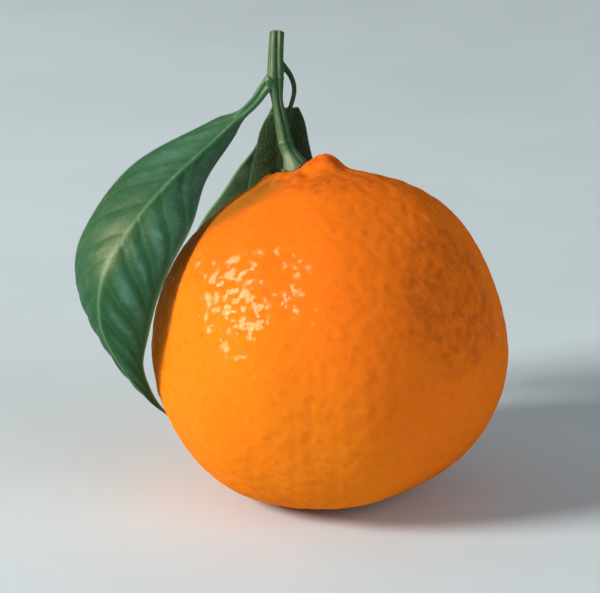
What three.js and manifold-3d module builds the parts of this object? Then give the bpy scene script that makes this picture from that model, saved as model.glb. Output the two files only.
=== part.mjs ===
// A mandarin with its stalk, calyx and three leaves.
// Millimetres, +Z up. The origin is on the ground, on the flat spot that the fruit rests on.
// +X is to the right and +Y to the back. The stem end leans back and a little to the left.
import * as THREE from 'three';
import { mergeVertices } from 'three/addons/utils/BufferGeometryUtils.js';
import Module from 'manifold-3d';

// ---- Driving dimensions ---------------------------------------------------------------------------------

const FRUIT = {
  equatorRadius: 31.8,
  stemHalfHeight: 31.3,
  styleHalfHeight: 30.5,
  stemPower: 2.12, // 2 is an ellipse and more gives squarer shoulders
  stylePower: 2.4,
  centreHeight: 29.6,
  leanBack: 15, // degrees
  leanLeft: 11,
  restRounding: 0.4, // height over which the rind rounds into the flat spot
  rings: 44,
  slices: 80,
  ringCrowding: 1.3, // above 1 crowds the rings towards the stem end
};
// On the rind, a distance from the stem end is an arc on a sphere of this radius.
const RIND_RADIUS = 32;
const NECK = { height: 0.9, radius: 9, x: 2, y: -1 };
const CAVITY = { depth: 1.5, radius: 3 };
const COLLAR = { height: 0.75, distance: 5.4, width: 1.9, lobes: 6 };
const KNOB = { height: 2.5, radius: 2.9, distance: 6.85, azimuth: -35, sharpness: 2.4 };
const FURROWS = { depth: 0.4, count: 9, distance: 9, width: 4.5 };
const SEGMENTS = { height: 0.2, count: 10 };
const LUMPS = { height: 0.44, wavelength: 28, waves: 7, phase: -0.65 };
const STYLE_DIMPLE = { depth: 0.7, radius: 3.2 };

const GAP = 0.3; // clearance between pieces that touch
const CALYX = { waist: 2.2, sepalLength: 1, sepals: 5, thickness: 1, slices: 30, rings: 8 };
const FOOT_LIFT = 2.3; // from the bottom of the dimple to the foot of the stalk

const TWIG = {
  // Over the calyx, past the node where the leaves grow, to the cut end.
  path: [
    [-6.9, 9, 61.9], [-7.9, 9.7, 64], [-8.6, 10.6, 67.4], [-9.4, 11.6, 71.8],
    [-9.75, 12.9, 76], [-9.7, 14.2, 80.1], [-9.5, 15.5, 83.9],
  ],
  radii: [1.8, 1.32, 1.18, 1, 1.47, 1.38, 1.3],
  steps: 28,
  sides: 12,
};
// The swellings that the leaf stalks grow from, and the bud above the first of them.
const NODE_SWELLINGS = [
  { centre: [-10.1, 12.4, 75.7], size: [1, 1, 1.5] },
  { centre: [-9.3, 13.4, 77.4], size: [0.9, 0.9, 1.3] },
  { centre: [-9.7, 13.6, 75.4], size: [1, 1.2, 1.4] },
  { centre: [-10.9, 12, 76.4], size: [0.6, 0.6, 1] },
];

const BLADE = {
  thickness: 0.6,
  rows: 26,
  // Where the columns lie across each blade, from its left edge at -1 to its right edge at 1.
  columns: [-1, -0.68, -0.36, -0.09, 0, 0.09, 0.36, 0.68, 1],
  bow: 0.9, // how far each half bulges between the midrib and the edge
  tipEnd: 0.985, // the rows stop this far along, where the tip is still a point with some width
  ribHeight: 0.7, // at the stalk, fading to nothing at the tip
};
const STALK = { sides: 10, steps: 12, rootDepth: 0.1 };

// Each leaf: its stalk, then its midrib and its two edges, from the stalk to the tip. The right edge is on
// the right of someone who looks at the front of the blade with the tip down. underside says whether that
// front is the lower side of the leaf, where the midrib stands out.
const LEAVES = [
  {
    name: 'leaf_left',
    stalk: [[-11.85, 11.95, 74.1], [-13.1, 10.9, 72.5]],
    midrib: [
      [-14.5, 9.7, 71.2], [-21, 4.4, 66.2], [-28.6, -2.6, 60.8], [-35.6, -9.5, 54.1],
      [-40.5, -13.1, 46.1], [-41.3, -12.1, 36.3], [-36.9, -7.4, 25.1], [-29.7, 2.4, 13],
    ],
    leftEdge: [
      [-15, 10.2, 71.6], [-21.9, 10.9, 68.2], [-30.3, 9.5, 64], [-37.8, 5.9, 59.2],
      [-42.8, 1.7, 54.4], [-45.7, -0.5, 47.8], [-45.3, -2.1, 39.7], [-41.5, -2.1, 31.4],
      [-35.3, -1.5, 22], [-29.7, 2.4, 13],
    ],
    rightEdge: [
      [-14.3, 9.9, 70.6], [-18.3, 8.1, 64.8], [-22.3, 1.9, 59.3], [-25.1, -7, 52.7],
      [-28.3, -11.7, 47.4], [-30.6, -12.9, 41.9], [-32.6, -11.3, 34.5], [-33.8, -8.8, 27.7],
      [-32.8, -5.1, 21.1], [-29.7, 2.4, 13],
    ],
    underside: false,
    stalkRadius: 1.2,
    wave: { height: 0.5, count: 3.2, phase: 0.4 },
    colour: '#4f7a4a',
  },
  {
    name: 'leaf_right',
    stalk: [
      [-7.5, 13.8, 76.9], [-6.95, 13.95, 75.9], [-6.45, 13.95, 74.5], [-6.35, 13.8, 73], [-6.6, 13.4, 71.8],
    ],
    midrib: [
      [-7, 13.2, 70.5], [-7.7, 15.4, 67.6], [-8.3, 20.3, 60.2], [-8.3, 26, 51.7],
      [-7.6, 32.3, 41.9], [-6.5, 37.6, 29], [-4.9, 39.9, 16.8],
    ],
    leftEdge: [
      [-7.5, 13.3, 70.7], [-10.9, 16.1, 68.2], [-12.6, 19.1, 64.6], [-13.5, 22.4, 60],
      [-14.4, 26.2, 55.6], [-15.5, 32, 47.4], [-14.3, 36.2, 37.6], [-10.4, 39.3, 26.3],
      [-4.9, 39.9, 16.8],
    ],
    rightEdge: [
      [-6.6, 13.5, 70.6], [-5.8, 14.2, 70.2], [-4.9, 16.8, 68], [-4.2, 19.4, 65.2],
      [-3.6, 22.5, 61.3], [-3, 25, 57.7], [-1.9, 29.9, 52.2], [-0.2, 35.8, 42.9],
      [-0.1, 40.2, 32.3], [-2.1, 41.4, 23.6], [-4.9, 39.9, 16.8],
    ],
    underside: true,
    stalkRadius: 0.55,
    wave: { height: 0.4, count: 2.6, phase: 1.7 },
    colour: '#2f3a22',
  },
  {
    name: 'leaf_back',
    stalk: [[-9.7, 15.5, 75.1], [-9.6, 17.7, 73]],
    midrib: [
      [-9.8, 20.3, 69.7], [-10.5, 25.5, 64.6], [-12, 31.4, 57.6], [-14.6, 35.7, 49.2],
      [-17.8, 38.2, 40.7], [-20.6, 39.1, 32.2], [-22.7, 38.4, 22.5],
    ],
    leftEdge: [
      [-10.1, 19.7, 69.6], [-12.8, 23.2, 62.2], [-15.3, 27.1, 56.5], [-18.3, 30.2, 51.5],
      [-23.6, 32.4, 43.9], [-26.1, 33.6, 36.4], [-25.7, 35.8, 28.5], [-22.7, 38.4, 22.5],
    ],
    rightEdge: [
      [-9.4, 21.2, 69.2], [-8.3, 27.8, 63.7], [-8.9, 34.8, 56.2], [-10.8, 40.3, 47],
      [-13.6, 43.3, 38.6], [-17.6, 42.9, 29.4], [-22.7, 38.4, 22.5],
    ],
    underside: true,
    stalkRadius: 0.65,
    wave: { height: 0.4, count: 2.8, phase: 2.9 },
    colour: '#5a8a58',
  },
];

// ---- Small helpers --------------------------------------------------------------------------------------

const radians = THREE.MathUtils.degToRad;
const bell = (distance, width) => Math.exp(-((distance / width) ** 2));
const pointsOf = (list) => list.map(([x, y, z]) => new THREE.Vector3(x, y, z));
const curveThrough = (list) => new THREE.CatmullRomCurve3(pointsOf(list));

// The value at u, from 0 to 1, of a list of values at even steps, eased from each to the next.
function easedValue(values, u) {
  const place = Math.min(u, 0.9999) * (values.length - 1);
  const index = Math.floor(place);
  const ease = THREE.MathUtils.smoothstep(place - index, 0, 1);
  return THREE.MathUtils.lerp(values[index], values[index + 1], ease);
}

// A closed body over a grid of points: an upper and a lower face with the same diagonals, and a rim.
// point(i, j, side) gives the corner in row i and column j, with side 1 on the upper face and -1 below.
function closedSheet(rows, columns, point) {
  const positions = [];
  const indices = [];
  const stride = columns + 1;
  const lower = (rows + 1) * stride;
  for (const side of [1, -1]) {
    for (let i = 0; i <= rows; i += 1) {
      for (let j = 0; j <= columns; j += 1) {
        positions.push(...point(i, j, side).toArray());
      }
    }
  }
  const quad = (a, b, c, d) => indices.push(a, b, c, a, c, d);
  for (let i = 0; i < rows; i += 1) {
    for (let j = 0; j < columns; j += 1) {
      const a = i * stride + j;
      const c = a + stride + 1;
      indices.push(a, c, a + 1, a, a + stride, c);
      indices.push(lower + a, lower + a + 1, lower + c, lower + a, lower + c, lower + a + stride);
    }
  }
  for (let j = 0; j < columns; j += 1) {
    const last = rows * stride + j;
    quad(j, j + 1, lower + j + 1, lower + j);
    quad(last + 1, last, lower + last, lower + last + 1);
  }
  for (let i = 0; i < rows; i += 1) {
    const left = i * stride;
    const right = left + columns;
    quad(left + stride, left, lower + left, lower + left + stride);
    quad(right, right + stride, lower + right + stride, lower + right);
  }
  const geometry = new THREE.BufferGeometry();
  geometry.setAttribute('position', new THREE.Float32BufferAttribute(positions, 3));
  geometry.setIndex(indices);
  return geometry;
}

// A round bar along a curve: a cylinder whose cross-sections are carried along it, with a radius at each u.
function bentBar(curve, radiusAt, steps, sides) {
  const frames = curve.computeFrenetFrames(steps, false);
  const geometry = new THREE.CylinderGeometry(1, 1, 1, sides, steps);
  const position = geometry.getAttribute('position');
  const point = new THREE.Vector3();
  for (let k = 0; k < position.count; k += 1) {
    const step = Math.round((position.getY(k) + 0.5) * steps);
    const u = step / steps;
    const radius = radiusAt(u);
    const across = position.getX(k) * radius;
    const over = -position.getZ(k) * radius;
    point.copy(curve.getPointAt(u));
    point.addScaledVector(frames.normals[step], across);
    point.addScaledVector(frames.binormals[step], over);
    position.setXYZ(k, point.x, point.y, point.z);
  }
  return geometry;
}

function closedOf(geometry) {
  geometry.deleteAttribute('normal');
  geometry.deleteAttribute('uv');
  return mergeVertices(geometry, 1e-4);
}

const wasm = await Module();
wasm.setup();

function solidOf(geometry) {
  const closed = closedOf(geometry);
  return new wasm.Manifold(new wasm.Mesh({
    numProp: 3,
    vertProperties: new Float32Array(closed.getAttribute('position').array),
    triVerts: new Uint32Array(closed.index.array),
  }));
}

function joined(geometries) {
  const mesh = geometries.map(solidOf).reduce((whole, piece) => whole.add(piece)).getMesh();
  const geometry = new THREE.BufferGeometry();
  geometry.setAttribute('position', new THREE.BufferAttribute(mesh.vertProperties, 3));
  geometry.setIndex(new THREE.BufferAttribute(mesh.triVerts, 1));
  return geometry;
}

function namedMesh(name, geometry, material) {
  const shaded = geometry;
  shaded.computeVertexNormals();
  const mesh = new THREE.Mesh(shaded, material);
  mesh.name = name;
  return mesh;
}

// ---- Fruit ----------------------------------------------------------------------------------------------

// A sum of plane waves whose directions are spread evenly round a sphere, so that it has no pattern.
function waveField(point, { wavelength, waves, phase }) {
  const goldenAngle = Math.PI * (3 - Math.sqrt(5));
  let sum = 0;
  for (let k = 0; k < waves; k += 1) {
    const height = 1 - (2 * k + 1) / waves;
    const flat = Math.sqrt(1 - height * height);
    const turn = k * goldenAngle + phase;
    const along = point.x * flat * Math.cos(turn) + point.y * flat * Math.sin(turn) + point.z * height;
    sum += Math.sin((2 * Math.PI * along) / wavelength + 1.7 * k * k + phase);
  }
  return sum / Math.sqrt(waves / 2);
}

// The stem end: a low neck, the dimple of the stalk, a lobed collar round it, one knob and short furrows.
function stemEndRelief(distance, azimuth) {
  const x = distance * Math.cos(azimuth);
  const y = distance * Math.sin(azimuth);
  const neck = NECK.height * bell(Math.hypot(x - NECK.x, y - NECK.y), NECK.radius);
  const cavity = CAVITY.depth * bell(distance, CAVITY.radius);
  const clearOfPole = 1 - bell(distance, CAVITY.radius);
  const lobe = 0.55 + 0.45 * clearOfPole * Math.cos(COLLAR.lobes * azimuth + 0.9);
  const collar = COLLAR.height * lobe * bell(distance - COLLAR.distance, COLLAR.width);
  const knobTurn = radians(KNOB.azimuth);
  const fromKnob = Math.hypot(
    x - KNOB.distance * Math.cos(knobTurn),
    y - KNOB.distance * Math.sin(knobTurn),
  );
  const knob = KNOB.height * Math.exp(-((fromKnob / KNOB.radius) ** KNOB.sharpness));
  const groove = (0.5 + 0.5 * Math.cos(FURROWS.count * azimuth + 0.8 * Math.sin(2 * azimuth))) ** 4;
  const furrow = FURROWS.depth * groove * clearOfPole * bell(distance - FURROWS.distance, FURROWS.width);
  return neck - cavity + collar + knob - furrow;
}

// A point of the rind at a polar angle from the stem end and an azimuth, raised by lift along its radius.
function rindPoint(polar, azimuth, lift = 0) {
  const flat = Math.sin(polar);
  const up = Math.cos(polar);
  const half = up > 0 ? FRUIT.stemHalfHeight : FRUIT.styleHalfHeight;
  const power = up > 0 ? FRUIT.stemPower : FRUIT.stylePower;
  const body = ((flat / FRUIT.equatorRadius) ** power + (Math.abs(up) / half) ** power) ** (-1 / power);
  const direction = new THREE.Vector3(flat * Math.cos(azimuth), flat * Math.sin(azimuth), up);
  const ridges = SEGMENTS.height * Math.cos(SEGMENTS.count * azimuth + 1.3 * Math.sin(3 * azimuth));
  const lumps = LUMPS.height * waveField(direction.clone().multiplyScalar(RIND_RADIUS), LUMPS);
  const dimple = STYLE_DIMPLE.depth * bell(RIND_RADIUS * (Math.PI - polar), STYLE_DIMPLE.radius);
  const relief = stemEndRelief(RIND_RADIUS * polar, azimuth) + ridges * flat * flat + lumps - dimple;
  return direction.multiplyScalar(body + relief + lift);
}

// The lean of the stem end, and the height of the fruit's middle.
const standing = new THREE.Matrix4()
  .makeTranslation(0, 0, FRUIT.centreHeight)
  .multiply(new THREE.Matrix4().makeRotationY(-radians(FRUIT.leanLeft)))
  .multiply(new THREE.Matrix4().makeRotationX(-radians(FRUIT.leanBack)));

// What would reach below the ground is pressed flat onto it, with a small rounding.
function pressedHeight(height) {
  const rounding = FRUIT.restRounding;
  if (height >= rounding) {
    return height;
  }
  return height <= -rounding ? 0 : (height + rounding) ** 2 / (4 * rounding);
}

function fruitGeometry() {
  const geometry = new THREE.SphereGeometry(1, FRUIT.slices, FRUIT.rings);
  const uv = geometry.getAttribute('uv');
  const position = geometry.getAttribute('position');
  for (let k = 0; k < position.count; k += 1) {
    const polar = Math.PI * (1 - uv.getY(k)) ** FRUIT.ringCrowding;
    const azimuth = 2 * Math.PI * (uv.getX(k) % 1);
    const point = rindPoint(polar, azimuth).applyMatrix4(standing);
    position.setXYZ(k, point.x, point.y, pressedHeight(point.z));
  }
  return closedOf(geometry);
}

// ---- Calyx ----------------------------------------------------------------------------------------------

// A star of five rounded sepals over the dimple: a flattened ball whose outline is the star.
function calyxGeometry() {
  const geometry = new THREE.SphereGeometry(1, CALYX.slices, CALYX.rings);
  geometry.rotateX(Math.PI / 2);
  const position = geometry.getAttribute('position');
  for (let k = 0; k < position.count; k += 1) {
    const azimuth = Math.atan2(position.getY(k), position.getX(k));
    const sepal = (0.5 + 0.5 * Math.cos(CALYX.sepals * azimuth)) ** 0.8;
    const out = Math.hypot(position.getX(k), position.getY(k));
    const distance = out * (CALYX.waist + CALYX.sepalLength * sepal);
    const lift = GAP + (CALYX.thickness * (1 + position.getZ(k))) / 2;
    const point = rindPoint(distance / RIND_RADIUS, azimuth, lift).applyMatrix4(standing);
    position.setXYZ(k, point.x, point.y, point.z);
  }
  return closedOf(geometry);
}

// ---- Twig -----------------------------------------------------------------------------------------------

function twigGeometry() {
  const foot = rindPoint(0, 0, FOOT_LIFT).applyMatrix4(standing);
  const curve = curveThrough([foot.toArray(), ...TWIG.path]);
  const bar = bentBar(curve, (u) => easedValue(TWIG.radii, u), TWIG.steps, TWIG.sides);
  const swellings = NODE_SWELLINGS.map(({ centre, size }) => {
    const swelling = new THREE.SphereGeometry(1, 12, 8);
    swelling.scale(...size);
    swelling.translate(...centre);
    return swelling;
  });
  return joined([bar, ...swellings]);
}

// ---- Leaves ---------------------------------------------------------------------------------------------

// The blade's three guide curves.
const guidesOf = ({ midrib, leftEdge, rightEdge }) => ({
  midrib: curveThrough(midrib),
  leftEdge: curveThrough(leftEdge),
  rightEdge: curveThrough(rightEdge),
});

// A point on the straight line from the midrib to an edge. u runs along the leaf and v across it.
function ruledPoint(guides, u, v) {
  const edge = v > 0 ? guides.rightEdge : guides.leftEdge;
  return guides.midrib.getPointAt(u).lerp(edge.getPointAt(u), Math.abs(v));
}

// The direction that the front of the blade faces at (u, v), from points a small step to each side.
function frontAt(guides, u, v) {
  const low = Math.max(0, u - 0.02);
  const high = Math.min(1, u + 0.02);
  const along = ruledPoint(guides, high, v).sub(ruledPoint(guides, low, v));
  const left = ruledPoint(guides, u, Math.max(-1, v - 0.15));
  const across = ruledPoint(guides, u, Math.min(1, v + 0.15)).sub(left);
  return along.cross(across).normalize();
}

// How far the blade stands in front of its ruled lines: each half bulges, and its edge waves.
function bulgeAt(leaf, u, v) {
  const { height, count, phase } = leaf.wave;
  const reach = Math.abs(v);
  const bow = BLADE.bow * 4 * reach * (1 - reach);
  const wave = height * reach * reach * Math.sin(2 * Math.PI * count * u + phase + (v > 0 ? 0 : 2));
  return (bow + wave) * Math.sin(Math.PI * u);
}

function leafGeometry(leaf) {
  const guides = guidesOf(leaf);
  const ribSide = leaf.underside ? 1 : -1;
  const point = (i, j, side) => {
    const u = (BLADE.tipEnd * i) / BLADE.rows;
    const v = BLADE.columns[j];
    const rib = v === 0 && side === ribSide ? BLADE.ribHeight * (1 - u) : 0;
    const offset = bulgeAt(leaf, u, v) + side * (BLADE.thickness / 2 + rib);
    return ruledPoint(guides, u, v).addScaledVector(frontAt(guides, u, v), offset);
  };
  const blade = closedSheet(BLADE.rows, BLADE.columns.length - 1, point);
  const roots = [0, STALK.rootDepth / 2, STALK.rootDepth].map((u) => guides.midrib.getPointAt(u).toArray());
  const stalk = curveThrough([...leaf.stalk, ...roots]);
  const radiusAt = (u) => leaf.stalkRadius * (1 - 0.4 * u);
  return joined([blade, bentBar(stalk, radiusAt, STALK.steps, STALK.sides)]);
}

// ---- Materials and assembly -----------------------------------------------------------------------------

const matte = (color, roughness) => new THREE.MeshStandardMaterial({ color, roughness, metalness: 0 });

const mandarin = new THREE.Group();
mandarin.name = 'mandarin';
mandarin.add(namedMesh('fruit', fruitGeometry(), matte('#f28a1e', 0.45)));
mandarin.add(namedMesh('calyx', calyxGeometry(), matte('#6f8f45', 0.7)));
mandarin.add(namedMesh('twig', twigGeometry(), matte('#5c8250', 0.6)));
for (const leaf of LEAVES) {
  mandarin.add(namedMesh(leaf.name, leafGeometry(leaf), matte(leaf.colour, 0.5)));
}

export default mandarin;
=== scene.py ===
"""A mandarin with its calyx, its stalk and three leaves.

Its fine surfaces take the place of the frame's solids. The shape functions work in millimetres, and metres
come in where a mesh is made. The fruit's own axis runs through its stem end, and leans back and to the left
of the frame's +Z.
"""
import math

import bpy
import numpy as np
from bpy.props import FloatProperty, FloatVectorProperty, IntProperty, PointerProperty
from mathutils import Matrix, Vector


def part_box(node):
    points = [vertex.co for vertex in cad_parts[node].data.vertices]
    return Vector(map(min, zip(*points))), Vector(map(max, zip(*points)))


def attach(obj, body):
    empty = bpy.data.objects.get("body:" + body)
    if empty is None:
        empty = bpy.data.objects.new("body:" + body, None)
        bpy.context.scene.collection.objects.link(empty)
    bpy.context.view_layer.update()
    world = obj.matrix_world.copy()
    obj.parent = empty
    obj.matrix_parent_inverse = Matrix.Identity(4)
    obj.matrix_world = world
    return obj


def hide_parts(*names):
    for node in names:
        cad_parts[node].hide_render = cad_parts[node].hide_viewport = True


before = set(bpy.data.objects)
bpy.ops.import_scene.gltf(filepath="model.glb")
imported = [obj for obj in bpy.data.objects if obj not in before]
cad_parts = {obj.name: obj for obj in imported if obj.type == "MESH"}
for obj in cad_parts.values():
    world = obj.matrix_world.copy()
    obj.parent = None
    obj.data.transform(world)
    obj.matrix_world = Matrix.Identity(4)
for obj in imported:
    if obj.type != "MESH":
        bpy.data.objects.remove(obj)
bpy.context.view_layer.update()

bl_info = {
    "name": "Leafy Mandarin",
    "version": (1, 0, 0),
    "blender": (4, 5, 0),
    "location": "View3D > Sidebar > Mandarin",
    "description": "Builds a mandarin with its calyx, stalk and leaves",
    "category": "Add Mesh",
}

MM = 0.001
TURN = 2 * math.pi


# ---- Measures shared with the frame's solids, in millimetres ----

RIND_RADIUS = 32.0  # a distance from the stem end is an arc on a sphere of this radius
RELIEF_REACH = 1.15  # what the relief adds to half the fruit's width
STEM_HALF_HEIGHT = 31.3
STYLE_HALF_HEIGHT = 30.5
STEM_POWER = 2.12
STYLE_POWER = 2.4
CENTRE_HEIGHT = 29.6
LEAN_BACK = math.radians(15)
LEAN_LEFT = math.radians(11)
REST_ROUNDING = 0.4
SEGMENT_HEIGHT, SEGMENT_COUNT = 0.2, 10
LUMP_HEIGHT, LUMP_LENGTH = 0.44, 28
STYLE_DEPTH, STYLE_WIDTH = 0.7, 3.2

# The relief of the stem end. A width is that of a bell curve.
NECK_HEIGHT, NECK_WIDTH, NECK_MIDDLE = 0.9, 9, (2, -1)
CAVITY_DEPTH, CAVITY_WIDTH = 1.5, 3
COLLAR_HEIGHT, COLLAR_WIDTH, COLLAR_DISTANCE, COLLAR_LOBES = 0.75, 1.9, 5.4, 6
KNOB_HEIGHT, KNOB_WIDTH, KNOB_DISTANCE, KNOB_SHARPNESS = 2.5, 2.9, 6.85, 2.4
KNOB_AZIMUTH = math.radians(-35)
FURROW_DEPTH, FURROW_WIDTH, FURROW_DISTANCE, FURROW_COUNT = 0.4, 4.5, 9, 9

CALYX_WAIST, SEPAL_LENGTH, CALYX_THICKNESS, CALYX_LIFT = 2.25, 1.05, 0.85, 0.12
FOOT_LIFT = 2.3
FOOT_SINK = 1.1  # how far the stalk goes down into the calyx
FOOT_FLARE, FLARE_WIDTH = 0.75, 2.2
# Each ring scar: how far up the stalk it is, its height and its width.
SCARS = ((5.6, 0.10, 0.35), (17.5, 0.12, 0.3))
STALK_PATH = (
    (-6.9, 9, 61.9), (-7.9, 9.7, 64), (-8.6, 10.6, 67.4), (-9.4, 11.6, 71.8),
    (-9.75, 12.9, 76), (-9.7, 14.2, 80.1), (-9.5, 15.5, 83.9),
)
STALK_RADII = (1.8, 1.32, 1.18, 1.0, 1.47, 1.38, 1.3)
# Where a leaf stalk grows out of the node: the middle of the swelling, its height and its spread.
NODE_SWELLINGS = (
    ((-11.1, 12.3, 75.2), 0.45, 1.2),
    ((-8.3, 13.6, 77.6), 0.35, 1.0),
    ((-9.7, 14.6, 75.3), 0.45, 1.0),
)
BUD = ((-10.8, 11.7, 75.0), (-11.1, 11.3, 75.9), (-11.2, 11.2, 76.9))
BUD_RADII = (0.7, 0.62, 0.1)

# Each leaf: where it starts on the axis of the woody stalk, then its own stalk, midrib and two edges. Its
# wave has a height, a count and a phase. Its colours are two for the upper side and two for the lower. Its
# painted sheen share scales the painted sheen and painted light on the upper side.
LEAF_LEFT = {
    "root": (-10.4, 12.5, 75.6),
    "stalk": ((-11.85, 11.95, 74.1), (-13.1, 10.9, 72.5)),
    "midrib": (
        (-14.5, 9.7, 71.2), (-21, 4.4, 66.2), (-28.6, -2.6, 60.8), (-35.6, -9.5, 54.1),
        (-40.5, -13.1, 46.1), (-41.3, -12.1, 36.3), (-36.9, -7.4, 25.1), (-29.7, 2.4, 13),
    ),
    "left_edge": (
        (-15, 10.2, 71.6), (-21.9, 10.9, 68.2), (-30.3, 9.5, 64), (-37.8, 5.9, 59.2),
        (-42.8, 1.7, 54.4), (-45.7, -0.5, 47.8), (-45.3, -2.1, 39.7), (-41.5, -2.1, 31.4),
        (-35.3, -1.5, 22), (-29.7, 2.4, 13),
    ),
    "right_edge": (
        (-14.3, 9.9, 70.6), (-18.3, 8.1, 64.8), (-22.3, 1.9, 59.3), (-25.1, -7, 52.7),
        (-28.3, -11.7, 47.4), (-30.6, -12.9, 41.9), (-32.6, -11.3, 34.5), (-33.8, -8.8, 27.7),
        (-32.8, -5.1, 21.1), (-29.7, 2.4, 13),
    ),
    "front_is_lower": False,
    "relief": 0.7,
    "painted_sheen_share": 1.0,
    "shoulder": 0.075,
    "stalk_radius": 1.2,
    "wave": (0.5, 3.2, 0.4),
    "slot": "leaf_green",
    "look": "glossy_leaf",
    "colours": ("green", "deep_green", "pale_green", "green"),
    "speckles": 0.15,
    "veined": 1.0,
}
LEAF_RIGHT = {
    "root": (-8.9, 13.5, 78.6),
    "stalk": (
        (-7.5, 13.8, 76.9), (-6.95, 13.95, 75.9), (-6.45, 13.95, 74.5), (-6.35, 13.8, 73),
        (-6.6, 13.4, 71.8),
    ),
    "midrib": (
        (-7, 13.2, 70.5), (-7.7, 15.4, 67.6), (-8.3, 20.3, 60.2), (-8.3, 26, 51.7),
        (-7.6, 32.3, 41.9), (-6.5, 37.6, 29), (-4.9, 39.9, 16.8),
    ),
    "left_edge": (
        (-7.5, 13.3, 70.7), (-10.9, 16.1, 68.2), (-12.6, 19.1, 64.6), (-13.5, 22.4, 60),
        (-14.4, 26.2, 55.6), (-15.5, 32, 47.4), (-14.3, 36.2, 37.6), (-10.4, 39.3, 26.3),
        (-4.9, 39.9, 16.8),
    ),
    "right_edge": (
        (-6.6, 13.5, 70.6), (-5.8, 14.2, 70.2), (-4.9, 16.8, 68), (-4.2, 19.4, 65.2),
        (-3.6, 22.5, 61.3), (-3, 25, 57.7), (-1.9, 29.9, 52.2), (-0.2, 35.8, 42.9),
        (-0.1, 40.2, 32.3), (-2.1, 41.4, 23.6), (-4.9, 39.9, 16.8),
    ),
    "front_is_lower": True,
    "relief": 0.15,
    "painted_sheen_share": 0.15,
    "shoulder": 0.03,
    "stalk_radius": 0.55,
    "wave": (0.4, 2.6, 1.7),
    "slot": "leaf_dark",
    "look": "dark_leaf",
    # The dark olive lower side, which faces the front, is painted shade.
    "colours": ("deep_green", "olive", "olive", "olive"),
    "speckles": 0.8,
    "veined": 0.25,
}
LEAF_BACK = {
    "root": (-9.7, 13.8, 76.2),
    "stalk": ((-9.7, 15.5, 75.1), (-9.6, 17.7, 73)),
    "midrib": (
        (-9.8, 20.3, 69.7), (-10.5, 25.5, 64.6), (-12, 31.4, 57.6), (-14.6, 35.7, 49.2),
        (-17.8, 38.2, 40.7), (-20.6, 39.1, 32.2), (-22.7, 38.4, 22.5),
    ),
    "left_edge": (
        (-10.1, 19.7, 69.6), (-12.8, 23.2, 62.2), (-15.3, 27.1, 56.5), (-18.3, 30.2, 51.5),
        (-23.6, 32.4, 43.9), (-26.1, 33.6, 36.4), (-25.7, 35.8, 28.5), (-22.7, 38.4, 22.5),
    ),
    "right_edge": (
        (-9.4, 21.2, 69.2), (-8.3, 27.8, 63.7), (-8.9, 34.8, 56.2), (-10.8, 40.3, 47),
        (-13.6, 43.3, 38.6), (-17.6, 42.9, 29.4), (-22.7, 38.4, 22.5),
    ),
    "front_is_lower": True,
    "relief": 0.5,
    "painted_sheen_share": 0.25,
    "shoulder": 0.05,
    "stalk_radius": 0.65,
    "wave": (0.4, 2.8, 2.9),
    "slot": "leaf_pale",
    "look": "pale_leaf",
    # The brightened pale lower side, which faces the front, is painted light.
    "colours": ("green", "deep_green", "pale_green", "green"),
    "speckles": 0.15,
    "veined": 1.0,
}
LEAVES = {"leaf_left": LEAF_LEFT, "leaf_right": LEAF_RIGHT, "leaf_back": LEAF_BACK}
LEAF_BOW = 0.9  # how far each half of a blade bulges between its midrib and its edge
GROOVE_DEPTH, GROOVE_WIDTH, RIB_WIDTH = 0.16, 0.45, 0.75


# ---- Measures of the looks and the stage ----

# Directions from the middle of the fruit.
RIPE_SIDE = (-0.72, -0.42, -0.55)
# Towards the side away from the key light, where the mottling is also painted core shade.
CORE_SHADE_SIDE = (0.71, -0.55, 0.43)
# Towards the rind in the left leaf's shade, where the olive band is a painted shadow of the leaf.
SHADED_SIDE = (-0.30, 0.905, 0.30)

PLANT_IOR = 1.45

# The end of the stalk: its radius and how brown it is, from the rim to the middle of the cut.
CUT_RADII = (0.97, 0.90, 0.78, 0.55, 0.25, 0.08)
CUT_BROWN = (0.3, 0.7, 1, 1, 1, 1)
CUT_DOME = 0.34

# Each light: its width, its distance from the fruit, its colour, the side it stands on and the kind of ray
# that doesn't see it.
LIGHTS = {
    "key": (0.5, 1.5, (1.0, 0.97, 0.93), (-0.82, -0.33, 0.47), "visible_glossy"),
    "gloss": (1.5, 1.5, (1.0, 0.78, 0.52), (-0.80, -0.32, 0.50), "visible_diffuse"),
    "soft_fill": (0.8, 1.1, (0.86, 0.94, 1.0), (0.70, -0.62, 0.42), "visible_glossy"),
    "soft_rim": (0.8, 1.1, (1.0, 0.97, 0.90), (-0.85, 0.50, 0.25), "visible_glossy"),
}
LIGHT_TARGET = (0, 0, 0.03)
ROOM_COLOUR = (0.93, 0.97, 1.0, 1)
CAMERA_TARGET = (-0.005269, 0.002311, 0.037021)
CAMERA_LENS = 178.5
FLOOR_RADII = (0.3, 1.0, 3.0)
FLOOR_SIDES = 64


# ---- Settings ----

def swatch(name, description, default):
    """A colour."""
    return FloatVectorProperty(
        name=name, description=description, default=default, subtype="COLOR", size=3, min=0, max=1,
    )


def measure(name, description, default):
    """A length in metres, shown in the scene's unit."""
    return FloatProperty(
        name=name, description=description, default=default, unit="LENGTH", precision=5, min=0,
    )


def watts(name, description, default):
    """The power of a light."""
    return FloatProperty(name=name, description=description, default=default, unit="POWER", min=0)


def fruit_radius():
    """Half the width of the fruit's solid, less its relief, in metres."""
    low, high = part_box("fruit")
    return round((high.x - low.x) / 2 - RELIEF_REACH * MM, 4)


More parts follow.
